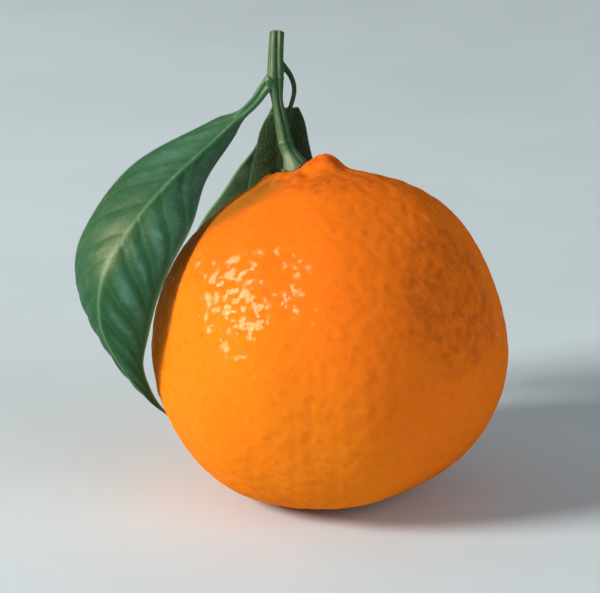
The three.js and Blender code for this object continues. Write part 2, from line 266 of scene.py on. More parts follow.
class RindSettings(bpy.types.PropertyGroup):
    """The fruit and its rind."""

    radius: measure("Radius", "Radius of the fruit across its segments", fruit_radius())
    pebble_height: measure("Pebble height", "Height of the low pebbles", 0.000032)
    pebble_length: measure("Pebble length", "From one pebble to the next", 0.0036)
    pore_spacing: measure("Pore spacing", "From one oil pore to the next", 0.0017)
    pore_depth: measure("Pore depth", "Depth of the oil pores", 0.00010)
    rings: IntProperty(name="Rings", description="Rows of faces from pole to pole", default=226, min=16)
    slices: IntProperty(name="Slices", description="Faces round the fruit", default=440, min=16)
    orange: swatch("Orange", "Main colour of the rind", (0.88, 0.178, 0.010))
    amber: swatch("Amber", "Lighter orange of the ripe side", (0.90, 0.222, 0.010))
    # Rust, which also carries painted shade on the knob's right side.
    rust: swatch("Rust", "Redder orange round the stem end", (0.68, 0.100, 0.010))
    # Brown mottling, which is also painted core shade on the side away from the key light.
    mottle: swatch("Mottle", "Brown mottling of the late side", (0.44, 0.080, 0.011))
    # Olive flush, which is also a painted shadow of the left leaf.
    olive: swatch("Olive flush", "Rind in the shade of the left leaf", (0.36, 0.125, 0.012))
    pore: swatch("Pore", "Colour in the oil pores", (0.62, 0.115, 0.008))


class LeafSettings(bpy.types.PropertyGroup):
    """The blades of the leaves."""

    thickness: measure("Thickness", "Thickness of a blade", 0.0006)
    rib_height: measure("Rib height", "Height of the midrib underneath", 0.0007)
    vein_depth: measure("Vein depth", "Depth of the side veins", 0.00012)
    quilt_height: measure("Quilt height", "Height of the blade between two side veins", 0.0003)
    vein_count: FloatProperty(
        name="Side veins", description="Side veins on each half of a blade", default=13, min=0,
    )
    rows: IntProperty(name="Rows", description="Rows of faces along a leaf", default=250, min=20)
    columns: IntProperty(name="Columns", description="Faces across one side of a leaf", default=88, min=8)
    green: swatch("Green", "Upper side of the blades", (0.026, 0.094, 0.036))
    deep_green: swatch("Deep green", "Darker patches of the upper side", (0.016, 0.074, 0.030))
    # Brighter than a real lower side, as painted light on the shaded pale leaf.
    pale_green: swatch("Pale green", "Lower side of the blades", (0.125, 0.44, 0.28))
    # Darker than a real lower side: painted shade on the dark leaf.
    olive: swatch("Olive", "Lower side of the dark leaf", (0.020, 0.040, 0.016))
    # Painted sheen between the side veins and painted light on the upper blade.
    bloom: swatch("Bloom", "Waxy blue-green between the side veins", (0.105, 0.265, 0.190))
    vein: swatch("Vein", "Side veins and edge", (0.085, 0.205, 0.085))
    # The midrib colour also paints the pale edge, which is a painted highlight.
    midrib: swatch("Midrib", "Midrib on the upper side", (0.125, 0.270, 0.135))


class StalkSettings(bpy.types.PropertyGroup):
    """The woody stalk, its node and the calyx."""

    groove_depth: measure("Groove depth", "Depth of the furrow down the stalk", 0.00022)
    ridge_height: measure("Ridge height", "Height of the ridges of the stalk", 0.00006)
    bark: swatch("Bark", "Lit green of the stalk", (0.052, 0.135, 0.052))
    # Also used for painted shade in the furrows.
    dark_bark: swatch("Dark bark", "Green in the furrows", (0.020, 0.062, 0.026))
    foot: swatch("Foot", "Paler green at the foot", (0.075, 0.155, 0.080))
    calyx: swatch("Calyx", "Green of the sepals", (0.075, 0.130, 0.050))
    dry: swatch("Dry tips", "Brown of the dried tips and the cut end", (0.24, 0.15, 0.07))


class StageSettings(bpy.types.PropertyGroup):
    """The floor, the lights and the camera."""

    floor: swatch("Floor", "Colour of the floor", (0.68, 0.775, 0.81))
    key_power: watts("Key light", "Power of the soft light at the left", 27)
    gloss_power: watts("Gloss light", "Power of the warm light that is only mirrored", 500)
    soft_fill_power: watts("Fill light", "Power of the weaker light at the right", 3.7)
    soft_rim_power: watts("Rim light", "Power of the weak light behind the left side", 1.6)
    room_strength: FloatProperty(
        name="Room light", description="Strength of the light from all round", default=0.20, min=0,
    )
    distance: measure("Distance", "From the camera to the point that it looks at", 0.55)
    elevation: FloatProperty(
        name="Elevation", description="How steeply the camera looks down", default=math.radians(18),
        subtype="ANGLE",
    )


# ---- Small shape tools ----

def unit(vectors):
    """Each vector divided by its length."""
    vectors = np.asarray(vectors, float)
    return vectors / np.linalg.norm(vectors, axis=-1, keepdims=True)


def bell(distance, width):
    """A bell curve: e to the minus of the square of distance over width."""
    return np.exp(-((distance / width) ** 2))


def smooth(value, low, high):
    """0 below low, 1 above high, and between them 3 times the square less 2 times the cube of the share."""
    share = np.clip((value - low) / (high - low), 0, 1)
    return share * share * (3 - 2 * share)


class Path:
    """A smooth curve through points, read by the share of its length.

    It is a centripetal Catmull-Rom curve: a cubic between every two points, with slopes from the points
    around it, timed by the square root of each distance. Beyond either end the next point is mirrored.
    """

    def __init__(self, through, steps=60):
        given = np.array(through, float)
        points = np.vstack([2 * given[0] - given[1], given, 2 * given[-1] - given[-2]])
        before, start = points[:-3, None], points[1:-2, None]
        end, after = points[2:-1, None], points[3:, None]
        gap = [np.sqrt(np.linalg.norm(b - a, axis=2, keepdims=True))
               for a, b in ((before, start), (start, end), (end, after))]
        leave = (start - before) / gap[0] - (end - before) / (gap[0] + gap[1]) + (end - start) / gap[1]
        arrive = (end - start) / gap[1] - (after - start) / (gap[1] + gap[2]) + (after - end) / gap[2]
        leave, arrive = leave * gap[1], arrive * gap[1]
        t = np.linspace(0, 1, steps, endpoint=False)[None, :, None]
        cubic = (
            start + leave * t
            + (-3 * start + 3 * end - 2 * leave - arrive) * t ** 2
            + (2 * start - 2 * end + leave + arrive) * t ** 3
        )
        self.points = np.vstack([cubic.reshape(-1, 3), given[-1:]])
        walked = np.cumsum(np.linalg.norm(np.diff(self.points, axis=0), axis=1))
        self.length = walked[-1]
        self.share = np.concatenate([[0], walked / walked[-1]])

    def at(self, share):
        """The points at these shares of the length."""
        share = np.asarray(share, float)
        return np.stack([np.interp(share, self.share, self.points[:, k]) for k in range(3)], axis=-1)

    def heading(self, share):
        """The direction of the curve at these shares, from points a hundredth of it to each side."""
        share = np.asarray(share, float)
        return unit(self.at(np.clip(share + 0.01, 0, 1)) - self.at(np.clip(share - 0.01, 0, 1)))


def eased_value(values, share):
    """The value at a share of the way along a list, eased from each value to the next."""
    place = np.clip(share, 0, 0.9999) * (len(values) - 1)
    index = place.astype(int)
    step = smooth(place - index, 0, 1)
    values = np.array(values, float)
    return values[index] * (1 - step) + values[index + 1] * step


def loops(values, columns):
    """Grids of a value for each row and an angle for each column, once round the turn."""
    return np.meshgrid(values, np.linspace(0, TURN, columns, endpoint=False), indexing="ij")


def wave_field(points, wavelength, waves, phase):
    """A sum of plane waves whose directions are spread evenly round a sphere, so that it has no pattern."""
    total = np.zeros(points.shape[:-1])
    for k in range(waves):
        height = 1 - (2 * k + 1) / waves
        flat = math.sqrt(1 - height * height)
        turn = k * math.pi * (3 - math.sqrt(5)) + phase
        direction = np.array([flat * math.cos(turn), flat * math.sin(turn), height])
        total += np.sin(TURN * (points @ direction) / wavelength + 1.7 * k * k + phase)
    return total / math.sqrt(waves / 2)


def skin_faces(rows, columns):
    """Faces of a skin: rows of points that close on themselves, and a pole past each end.

    The points come row by row, then the pole before the first row, then the pole after the last. The
    triangles at the two poles are given apart, so that an open skin can leave out the last ones.
    """
    here = np.arange(rows * columns).reshape(rows, columns)
    beside = np.roll(here, -1, axis=1)
    quads = np.stack([here[:-1], here[1:], beside[1:], beside[:-1]], axis=-1).reshape(-1, 4)
    first = np.full(columns, rows * columns)
    near = np.stack([first, here[0], beside[0]], axis=-1)
    far = np.stack([first + 1, beside[-1], here[-1]], axis=-1)
    return quads, near, far


class Skin:
    """A closed skin with its points in millimetres and values that its look reads."""

    def __init__(self, grid, first_pole, last_pole, **values):
        rows, columns = grid.shape[:2]
        self.points = np.vstack([grid.reshape(-1, 3), [first_pole], [last_pole]])
        self.quads, near, far = skin_faces(rows, columns)
        self.triangles = np.vstack([near, far])
        corners = np.vstack([self.triangles, self.quads[:, :3], self.quads[:, [0, 2, 3]]])
        first, second, third = (self.points[corners[:, place]] for place in range(3))
        if np.sum(first * np.cross(second, third)) < 0:
            raise ValueError("the faces of a skin point inwards")
        self.values = {}
        for name, value in values.items():
            value = np.broadcast_to(value, (rows, columns))
            self.values[name] = np.append(value, [value[0].mean(), value[-1].mean()])


def piece_from_skins(name, skins, look, node):
    """One object from closed skins, which takes the place of a node's solid."""
    points, faces = [], []
    for skin in skins:
        faces += [*(skin.quads + len(points)).tolist(), *(skin.triangles + len(points)).tolist()]
        points += (skin.points * MM).tolist()
    mesh = bpy.data.meshes.new(name)
    mesh.from_pydata(points, [], faces, shade_flat=False)
    if mesh.validate():
        raise RuntimeError(f"{name}: the faces had faults")
    for key in skins[0].values:
        attribute = mesh.attributes.new(key, "FLOAT", "POINT")
        values = np.concatenate([skin.values[key] for skin in skins])
        attribute.data.foreach_set("value", values.astype(np.float32))
    mesh.materials.append(look)
    piece = bpy.data.objects.new(name, mesh)
    bpy.context.scene.collection.objects.link(piece)
    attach(piece, "root")
    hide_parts(node)
    return piece


# ---- Looks ----

class Look:
    """A procedural material, its nodes and the shader that they feed."""

    def __init__(self, name):
        self.material = bpy.data.materials.new(name)
        self.material.use_nodes = True
        self.tree = self.material.node_tree
        self.shader = self.tree.nodes["Principled BSDF"]
        self.place = self.add("TexCoord").outputs["Object"]
        self.base = None

    def add(self, kind, inputs=None, **settings):
        """A new node with these settings and inputs, which go by name or number."""
        node = self.tree.nodes.new("ShaderNode" + kind)
        for key, value in settings.items():
            setattr(node, key, value)
        for key, value in (inputs or {}).items():
            self.feed(node.inputs[key], value)
        return node

    def feed(self, socket, value):
        """Links an output to a socket, or sets a plain value."""
        if isinstance(value, bpy.types.NodeSocket):
            self.tree.links.new(value, socket)
        elif socket.type == "RGBA":
            socket.default_value = (*value[:3], 1)
        else:
            socket.default_value = value

    def value(self, name):
        """The piece's own value of this name."""
        return self.add("Attribute", attribute_name=name).outputs["Fac"]

    def noise(self, scale, detail=3.0, roughness=0.55, place=None):
        """Soft noise from 0 to 1, this many features a metre."""
        inputs = {"Vector": place or self.place, "Scale": scale, "Detail": detail, "Roughness": roughness}
        return self.add("TexNoise", inputs).outputs["Fac"]

    def cells(self, scale, feature="F1", place=None):
        """Distances in a pattern of cells, this many a metre."""
        inputs = {"Vector": place or self.place, "Scale": scale}
        return self.add("TexVoronoi", inputs, feature=feature).outputs["Distance"]

    def stretched(self, scale, place):
        """A place multiplied by this along each axis."""
        return self.add("Mapping", {"Vector": place, "Scale": scale}).outputs["Vector"]

    def joined(self, x, y, z):
        """A vector from three values."""
        return self.add("CombineXYZ", {0: x, 1: y, 2: z}).outputs["Vector"]

    def span(self, value, low, high, start=0.0, end=1.0):
        """A value eased from start to end while the input goes from low to high."""
        inputs = {"Value": value, "From Min": low, "From Max": high, "To Min": start, "To Max": end}
        return self.add("MapRange", inputs, interpolation_type="SMOOTHSTEP").outputs["Result"]

    def sum(self, first, second, share=1.0):
        """The first value plus a share of the second."""
        inputs = {0: second, 1: share, 2: first}
        return self.add("Math", inputs, operation="MULTIPLY_ADD").outputs[0]

    def product(self, first, second):
        """One value times another."""
        return self.add("Math", {0: first, 1: second}, operation="MULTIPLY").outputs[0]

    def mixed(self, share, first, second):
        """The second colour over the first by a share."""
        return self.add("Mix", {0: share, 6: first, 7: second}, data_type="RGBA").outputs[2]

    def tint(self, share, colour, strength=None):
        """Lays a colour over the base by a share, times a strength where one is given."""
        if strength is not None:
            share = self.product(share, strength)
        self.base = self.mixed(share, self.base, colour)

    def relief(self, height, depth, below=None):
        """Surface directions for a height from 0 to 1 over this depth in metres."""
        inputs = {"Height": height, "Distance": depth, "Strength": 1.0}
        if below is not None:
            inputs["Normal"] = below
        return self.add("Bump", inputs).outputs["Normal"]

    def coat(self, **inputs):
        """Feeds the base and these to the shader, with underscores for spaces, and gives the material."""
        for key, value in {"Base_Color": self.base, **inputs}.items():
            self.feed(self.shader.inputs[key.replace("_", " ")], value)
        return self.material


def rind_look(rind):
    """Orange rind with oil pores under a broken waxy film, which alone is glossy.

    The skin's own values say where it is amber, rusty, mottled or olive. The olive band is a painted shadow
    of the left leaf, the mottling is also painted core shade on the side away from the key light, and the
    rust has painted shade on the knob's right side. Noise breaks up the first three.
    """
    look = Look("orange_rind")
    cloudy = look.noise(95, 4)
    streaky = look.span(look.noise(300, 5, 0.65), 0.36, 0.64)
    warm = look.sum(look.value("amber"), cloudy, 0.5)
    look.base = look.mixed(look.span(warm, 0.35, 1.05), rind.orange, rind.amber)
    # Rust, with painted shade on the knob's right side.
    rust_and_shade = look.sum(look.value("rust"), streaky, 0.7)
    look.tint(look.span(rust_and_shade, 0.55, 1.45), rind.rust)
    blotches = look.span(look.noise(450, 5, 0.65), 0.36, 0.68, 0.12, 1.0)
    # Mottling, which is also painted core shade on the side away from the key light.
    ragged = look.span(look.sum(look.value("mottle"), look.noise(150, 4, 0.6), 0.9), 0.60, 1.25)
    look.tint(look.product(ragged, blotches), rind.mottle, 0.66)
    # The olive band is a painted shadow of the left leaf.
    look.tint(look.value("flush"), rind.olive, 0.9)
    look.tint(look.span(look.noise(620, 3, 0.6), 0.5, 0.8, 0.0, 0.24), rind.rust)
    pores = look.cells(1 / rind.pore_spacing)
    pit = look.span(pores, 0.12, 0.5, 1.0, 0.0)
    large = look.span(look.cells(330), 0.08, 0.3, 1.0, 0.0)
    look.tint(pit, rind.pore, 0.12)
    look.tint(large, rind.pore, 0.24)
    rough = look.span(look.noise(700, 2), 0.25, 0.8, 0.42, 0.52)
    grain = look.relief(look.noise(2600, 2, 0.5), 0.00002)
    dome = look.span(pores, 0.0, 0.75, 1.0, 0.0)
    dimples = look.relief(look.sum(dome, large, -0.6), rind.pore_depth * 0.5, grain)
    wax = look.relief(look.sum(look.noise(210, 1, 0.5), dome, 0.04), rind.pore_depth * 7.0, grain)
    film = look.span(look.sum(look.noise(720, 1, 0.5), pit, -0.04), 0.505, 0.54, 0.0, 0.095)
    return look.coat(
        Roughness=rough, Normal=dimples, IOR=PLANT_IOR, Specular_IOR_Level=0.0,
        Subsurface_Weight=0.10, Subsurface_Radius=(1.0, 0.32, 0.08), Subsurface_Scale=0.002,
        Coat_Weight=film, Coat_Roughness=0.15, Coat_Normal=wax,
    )


def leaf_look(shape, leaves):
    """Leathery green blade: pale veins, a painted highlight on the edge, a fine net, gland specks, and a
    painted sheen with painted light on the upper side.
    """
    look = Look(shape["look"])
    upper, upper_dark, lower, lower_dark = (getattr(leaves, colour) for colour in shape["colours"])
    veined = shape["veined"]
    net_place = look.joined(look.value("across"), look.value("along"), look.value("lower"))
    net = look.cells(560, "DISTANCE_TO_EDGE", net_place)
    fine_net = look.cells(1500, "DISTANCE_TO_EDGE", net_place)
    line = look.span(net, 0.0, 0.09, 1.0, 0.0)
    fine_line = look.span(fine_net, 0.0, 0.12, 1.0, 0.0)
    blotches = look.noise(75, 4, 0.6)
    brushed = look.noise(420, 4, 0.65)
    top = look.mixed(look.span(blotches, 0.3, 0.72), upper, upper_dark)
    top = look.mixed(look.span(brushed, 0.55, 0.8, 0.0, 0.3), top, leaves.vein)
    # Painted sheen between the side veins and painted light on the upper blade.
    bloom = look.product(look.value("bloom"), look.span(brushed, 0.3, 0.7, 0.35, 1.0))
    top = look.mixed(bloom, top, leaves.bloom)
    # The lower side: dark olive on the dark leaf is painted shade, and the brightened pale green is painted
    # light.
    bottom = look.mixed(look.span(blotches, 0.3, 0.72), lower, lower_dark)
    lower_side = look.value("lower")
    look.base = look.mixed(lower_side, top, bottom)
    look.tint(line, leaves.vein, 0.05 * veined)
    look.tint(fine_line, leaves.vein, 0.05 * veined)
    look.tint(look.value("vein"), leaves.vein, 0.20 * veined)
    look.tint(look.value("midrib"), leaves.midrib, 0.85 * veined)
    # The pale edge is a painted highlight.
    look.tint(look.value("edge"), leaves.midrib, 0.8 * veined)
    glands = look.span(look.cells(2100), 0.12, 0.34, 1.0, 0.0)
    look.tint(glands, leaves.vein, shape["speckles"])
    rough = look.sum(look.span(brushed, 0.3, 0.75, 0.36, 0.50), lower_side, 0.16)
    height = look.sum(look.product(line, -0.6), fine_line, -0.3)
    grain = look.relief(look.noise(1800, 3, 0.6), 0.00004)
    normal = look.relief(height, 0.00002, grain)
    return look.coat(Roughness=rough, Normal=normal, IOR=PLANT_IOR, Specular_IOR_Level=0.05)


def bark_look(stalk):
    """Green twig bark: lengthwise streaks, furrows darkened with painted shade, pale breathing pores, and a
    brown cut end.
    """
    look = Look("green_bark")
    place = look.joined(look.value("around"), look.value("along"), 0.0)
    streaks = look.noise(1.0, 5, 0.65, look.stretched((2600, 260, 1), place))
    cloudy = look.noise(230, 4, 0.6)
    look.base = look.mixed(look.span(streaks, 0.35, 0.75), stalk.bark, stalk.dark_bark)
    # Painted shade in the furrows.
    look.tint(look.value("furrow"), stalk.dark_bark, 0.6)
    foot = look.sum(look.value("foot"), cloudy, 0.5)
    look.tint(look.span(foot, 0.5, 1.2), stalk.foot)
    specks = look.cells(1.0, place=look.stretched((1500, 900, 1), place))
    look.tint(look.span(specks, 0.12, 0.28, 0.55, 0.0), stalk.foot)
    look.tint(look.value("cut"), stalk.dry, 0.8)
    rough = look.span(cloudy, 0.3, 0.7, 0.45, 0.62)
    normal = look.relief(look.sum(streaks, specks, -0.3), 0.00008)
    return look.coat(Roughness=rough, Normal=normal, IOR=PLANT_IOR, Specular_IOR_Level=0.10)


def calyx_look(stalk):
    """Grey-green sepals with dry brown tips and a fine rough skin."""
    look = Look("dry_calyx")
    cloudy = look.noise(700, 4, 0.65)
    tips = look.sum(look.value("out"), cloudy, 0.5)
    look.base = look.mixed(look.span(cloudy, 0.3, 0.75), stalk.calyx, stalk.foot)
    look.tint(look.span(tips, 0.85, 1.35), stalk.dry)
    rough = look.span(cloudy, 0.3, 0.7, 0.6, 0.8)
    normal = look.relief(look.noise(2200, 4, 0.65), 0.00009)
    return look.coat(Roughness=rough, Normal=normal, IOR=PLANT_IOR, Specular_IOR_Level=0.10)


def floor_look(stage):
    """Plain pale tabletop with a faint cloudiness and no gloss."""
    look = Look("pale_floor")
    cloudy = look.noise(9, 4, 0.6)
    darker = tuple(0.93 * channel for channel in stage.floor)
    look.base = look.mixed(look.span(cloudy, 0.3, 0.7), stage.floor, darker)
    rough = look.span(look.noise(60, 3), 0.3, 0.7, 0.8, 0.9)
    return look.coat(Roughness=rough, Specular_IOR_Level=0.0)


# ---- Fruit ----

def from_knob(distance, azimuth, right=0.0, back=0.0):
    """How far the knob, or a place beside it, is from the point at this distance and azimuth."""
    x = distance * np.cos(azimuth) - KNOB_DISTANCE * math.cos(KNOB_AZIMUTH)
    y = distance * np.sin(azimuth) - KNOB_DISTANCE * math.sin(KNOB_AZIMUTH)
    return np.hypot(x - right, y - back)


def stem_end_relief(distance, azimuth):
    """Height round the stem end: a low neck, the stalk's dimple, a lobed collar, one knob, short furrows.

    Each is a bell curve of the distance from its own middle, and the knob's has a flatter top. The collar
    and the furrows also rise and fall with the azimuth, less and less towards the pole.
    """
    x, y = distance * np.cos(azimuth), distance * np.sin(azimuth)
    neck = NECK_HEIGHT * bell(np.hypot(x - NECK_MIDDLE[0], y - NECK_MIDDLE[1]), NECK_WIDTH)
    hollow = bell(distance, CAVITY_WIDTH)
    lobe = 0.55 + 0.45 * (1 - hollow) * np.cos(COLLAR_LOBES * azimuth + 0.9)
    collar = COLLAR_HEIGHT * lobe * bell(distance - COLLAR_DISTANCE, COLLAR_WIDTH)
    knob = KNOB_HEIGHT * np.exp(-((from_knob(distance, azimuth) / KNOB_WIDTH) ** KNOB_SHARPNESS))
    groove = (0.5 + 0.5 * np.cos(FURROW_COUNT * azimuth + 0.8 * np.sin(2 * azimuth))) ** 4
    furrow = FURROW_DEPTH * groove * (1 - hollow) * bell(distance - FURROW_DISTANCE, FURROW_WIDTH)
    return neck - CAVITY_DEPTH * hollow + collar + knob - furrow


def rind_point(polar, azimuth, lift=0.0, rind=None):
    """Points of the rind, in millimetres, before the fruit leans.

    Along each direction from the middle the rind stands at the radius of a superellipse, plus the relief of
    the stem end, ten low ridges, broad lumps, the style's dimple and the lift. Where rind is given, pebbles
    are added.
    """
    flat, up = np.sin(polar), np.cos(polar)
    half = np.where(up > 0, STEM_HALF_HEIGHT, STYLE_HALF_HEIGHT)
    power = np.where(up > 0, STEM_POWER, STYLE_POWER)
    radius = (fruit_radius() if rind is None else rind.radius) / MM
    body = ((flat / radius) ** power + (np.abs(up) / half) ** power) ** (-1 / power)
    direction = np.stack([flat * np.cos(azimuth), flat * np.sin(azimuth), up], axis=-1)
    ridges = SEGMENT_HEIGHT * np.cos(SEGMENT_COUNT * azimuth + 1.3 * np.sin(3 * azimuth)) * flat * flat
    lumps = LUMP_HEIGHT * wave_field(direction * RIND_RADIUS, LUMP_LENGTH, 7, -0.65)
    dimple = STYLE_DEPTH * bell(RIND_RADIUS * (math.pi - polar), STYLE_WIDTH)
    relief = stem_end_relief(RIND_RADIUS * polar, azimuth) + ridges + lumps - dimple
    if rind is not None:
        relief = relief + pebbles(direction, rind)
    return direction * (body + relief + lift)[..., None]


def pebbles(direction, rind):
    """Low pebbles: two wave fields, one two thirds as long as the other."""
    length = rind.pebble_length / MM
    coarse = wave_field(direction * RIND_RADIUS, length, 23, 0.3)
    fine = wave_field(direction * RIND_RADIUS, length * 0.66, 31, 1.9)
    return rind.pebble_height / MM * (coarse + 0.6 * fine)


def stood(points):
    """Points of the fruit, leant to the back and the left and set at their height."""
    lean = Matrix.Rotation(-LEAN_LEFT, 3, "Y") @ Matrix.Rotation(-LEAN_BACK, 3, "X")
    return points @ np.array(lean).T + np.array([0, 0, CENTRE_HEIGHT])


def above_stem_end(*lifts):
    """Points on the fruit's axis, this far above the bottom of the stem end's dimple."""
    return stood(rind_point(np.full(len(lifts), 1e-6), np.zeros(len(lifts)), np.array(lifts)))


def pressed_height(height):
    """Heights as they are above the ground, 0 below it, and a parabola that eases one into the other."""
    eased = (height + REST_ROUNDING) ** 2 / (4 * REST_ROUNDING)
    return np.where(height >= REST_ROUNDING, height, np.where(height <= -REST_ROUNDING, 0, eased))


def rind_skin(rind):
    """The whole rind over polar angle and azimuth, and how amber, rusty, mottled and olive it is.

    Amber fades in towards the ripe side and mottling towards the side away from the key light, where it is
    also painted core shade. The olive flush is a band about the shaded side and is a painted shadow of the
    left leaf. Rust lies round the knob and the stem end, with painted shade on the knob's right side, and
    more mottling lies in a ring about the knob.
    """
    share = np.linspace(0, 1, rind.rings + 1)[1:-1]
    polar, azimuth = loops(math.pi * share ** 1.15, rind.slices)
    grid = stood(rind_point(polar, azimuth, rind=rind))
    poles = stood(rind_point(np.array([1e-6, math.pi - 1e-6]), np.zeros(2), rind=rind))
    for points in (grid, poles):
        points[..., 2] = pressed_height(points[..., 2])
    from_middle = unit(grid - np.array([0, 0, CENTRE_HEIGHT]))
    amber = smooth(from_middle @ unit(RIPE_SIDE), -0.1, 0.95)
    # The olive band about the shaded side is a painted shadow of the left leaf.
    shaded = from_middle @ unit(SHADED_SIDE)
    flush = smooth(shaded, 0.12, 0.27) * (1 - smooth(shaded, 0.40, 0.72))
    flush = flush * smooth(-from_middle[..., 0], 0.20, 0.40) * smooth(from_middle[..., 2], -0.15, 0.35)
    distance = RIND_RADIUS * polar
    off_knob = from_knob(distance, azimuth)
    # Painted shade on the knob's right side, added to the rust.
    painted_knob_shade_distance = from_knob(distance, azimuth, right=2.8, back=-0.8)
    rust = np.maximum(0.8 * bell(off_knob, 4.2) + bell(painted_knob_shade_distance, 1.8), 0.6 * bell(distance, 11))
    # Mottling towards the side away from the key light is painted core shade; the ring about the knob is
    # mottling.
    mottle = np.maximum(smooth(from_middle @ unit(CORE_SHADE_SIDE), 0.85, 0.99), 0.85 * bell(off_knob - 9, 5))
    return Skin(grid, *poles, amber=amber, rust=rust, mottle=mottle, flush=flush)


# ---- Calyx and stalk ----

def calyx_skin():
    """A star of five pointed sepals that lies over the dimple.

    Its points run from the middle of the upper side, over the star's edge, to the middle of the lower side.
    The edge's distance is a waist plus a power of the cosine of five times the azimuth.
    """
    over, azimuth = loops(np.linspace(0, math.pi, 61)[1:-1], 160)
    sepal = (0.5 + 0.5 * np.cos(5 * azimuth)) ** 1.3
    ragged = 0.06 * np.sin(17 * azimuth) + 0.05 * np.sin(29 * azimuth + 1)
    out = np.sin(over)
    distance = out * (CALYX_WAIST + SEPAL_LENGTH * sepal + ragged * (1 - sepal))
    ribs = 0.07 * np.cos(5 * azimuth) + 0.05 * np.cos(25 * azimuth)
    height = CALYX_THICKNESS * (1 + np.sign(np.cos(over)) * np.abs(np.cos(over)) ** 0.6) / 2
    curl = 0.25 * sepal * out ** 4
    lift = CALYX_LIFT + height * (1 + ribs) + curl
    grid = stood(rind_point(distance / RIND_RADIUS, azimuth, lift))
    poles = above_stem_end(CALYX_LIFT + CALYX_THICKNESS, CALYX_LIFT)
    return Skin(grid, *poles, out=out * (0.5 + 0.5 * sepal))


def bar_frames(path, share, towards):
    """At each share of a path: its point, a way across near the given one, and the way square to both."""
    heading = path.heading(share)
    towards = np.array(towards, float)
    across = unit(towards - heading * (heading @ towards)[:, None])
    return path.at(share), across, np.cross(heading, across)


def round_loops(path, share, columns):
    """For loops of points round a path: their middles, the angle of each column and the ways outwards."""
    centre, across, over = bar_frames(path, share, (1, 0, 0))
    angle = np.linspace(TURN, 0, columns, endpoint=False)[None, :]
    around = np.cos(angle)[..., None] * across[:, None] + np.sin(angle)[..., None] * over[:, None]
    return centre, angle, around


def stalk_skin(stalk):
    """The woody stalk: a ridged and furrowed bar, swollen at the node, ringed by scars and cut at the top.

    The ridges are waves round the bar that turn as they rise, and each furrow, scar and swelling is a bell
    curve. The cut is closed by six more loops that shrink over a low dome.
    """
    foot, = above_stem_end(FOOT_LIFT - FOOT_SINK)
    path = Path([foot, *STALK_PATH])
    rows, columns = 260, 72
    share = np.append(np.linspace(0, 1, rows), np.ones(len(CUT_RADII)))
    closing = np.append(np.ones(rows), CUT_RADII)
    centre, angle, around = round_loops(path, share, columns)
    centre = centre + path.heading(share) * ((1 - closing ** 6) * CUT_DOME)[:, None]
    turned = angle + 0.5 * share[:, None]
    ridges = stalk.ridge_height / MM * (np.cos(5 * turned + 2 * share[:, None]) + 0.5 * np.cos(11 * turned))
    furrow = bell(np.angle(np.exp(1j * (turned + 1.0))), 0.30)
    side_furrow = 0.35 * bell(np.angle(np.exp(1j * (turned - 1.9))), 0.25)
    depth = stalk.groove_depth / MM * (furrow + side_furrow)
    walked = share * path.length
    rings = sum(height * bell(walked - place, width) for place, height, width in SCARS)
    radius = eased_value(STALK_RADII, share) + FOOT_FLARE * bell(walked, FLARE_WIDTH) + rings
    reach = (radius[:, None] + ridges - depth) * closing[:, None]
    grid = centre[:, None] + around * reach[..., None]
    for middle, height, spread in NODE_SWELLINGS:
        near = bell(np.linalg.norm(grid - np.array(middle), axis=2), spread)
        grid = grid + around * (height * near)[..., None]
    cut = np.append(np.zeros(rows), CUT_BROWN)[:, None]
    values = {
        "around": angle * 1.4 * MM,
        "along": walked[:, None] * MM,
        # The furrow value darkens the furrows with painted shade.
        "furrow": np.clip(furrow + side_furrow, 0, 1) * (1 - cut),
        "foot": bell(walked, 5.5)[:, None],
        "cut": cut,
    }
    return Skin(grid, path.at(0), path.at(1) + path.heading(1) * 0.36, **values)


def bud_skin():
    """The small pointed bud above the left leaf's stalk: a short bar with a tapering radius."""
    path = Path(BUD)
    share = np.linspace(0, 1, 40)
    centre, angle, around = round_loops(path, share, 36)
    scales = 1 + 0.08 * np.abs(np.sin(2 * angle + 5 * share[:, None]))
    radius = eased_value(BUD_RADII, share)[:, None] * scales
    grid = centre[:, None] + around * radius[..., None]
    along = (share * path.length)[:, None] * MM
    values = {"around": angle * 0.6 * MM, "along": along, "furrow": 0.0, "foot": 0.9, "cut": 0.0}
    return Skin(grid, path.at(0), path.at(1) + path.heading(1) * 0.1, **values)


# ---- Leaves ----

class Blade:
    """The ruled surface of one leaf between its midrib and its two edges, all in millimetres."""

    def __init__(self, shape):
        self.shape = shape
        self.midrib = Path(shape["midrib"])
        self.left = Path(shape["left_edge"])
        self.right = Path(shape["right_edge"])

    def point(self, u, v):
        """On the straight line from the midrib at u to the edge at u, the share v of the way across."""
        edge = np.where((v > 0)[..., None], self.right.at(u), self.left.at(u))
        return self.midrib.at(u) + (edge - self.midrib.at(u)) * np.abs(v)[..., None]

    def front(self, u, v):
        """The direction that the front faces, square to a step along the blade and a step across it."""
        along = self.point(np.clip(u + 0.02, 0, 1), v) - self.point(np.clip(u - 0.02, 0, 1), v)
        across = self.point(u, np.clip(v + 0.15, -1, 1)) - self.point(u, np.clip(v - 0.15, -1, 1))
        return unit(np.cross(along, across))

    def bulge(self, u, v):
        """How far the blade stands in front of its ruled lines: each half bulges, and the edge waves."""
        height, count, phase = self.shape["wave"]
        reach = np.abs(v)
        bow = LEAF_BOW * 4 * reach * (1 - reach)
        wave = height * reach * reach * np.sin(TURN * count * u + phase + np.where(v > 0, 0, 2))
        return (bow + wave) * np.sin(math.pi * u)


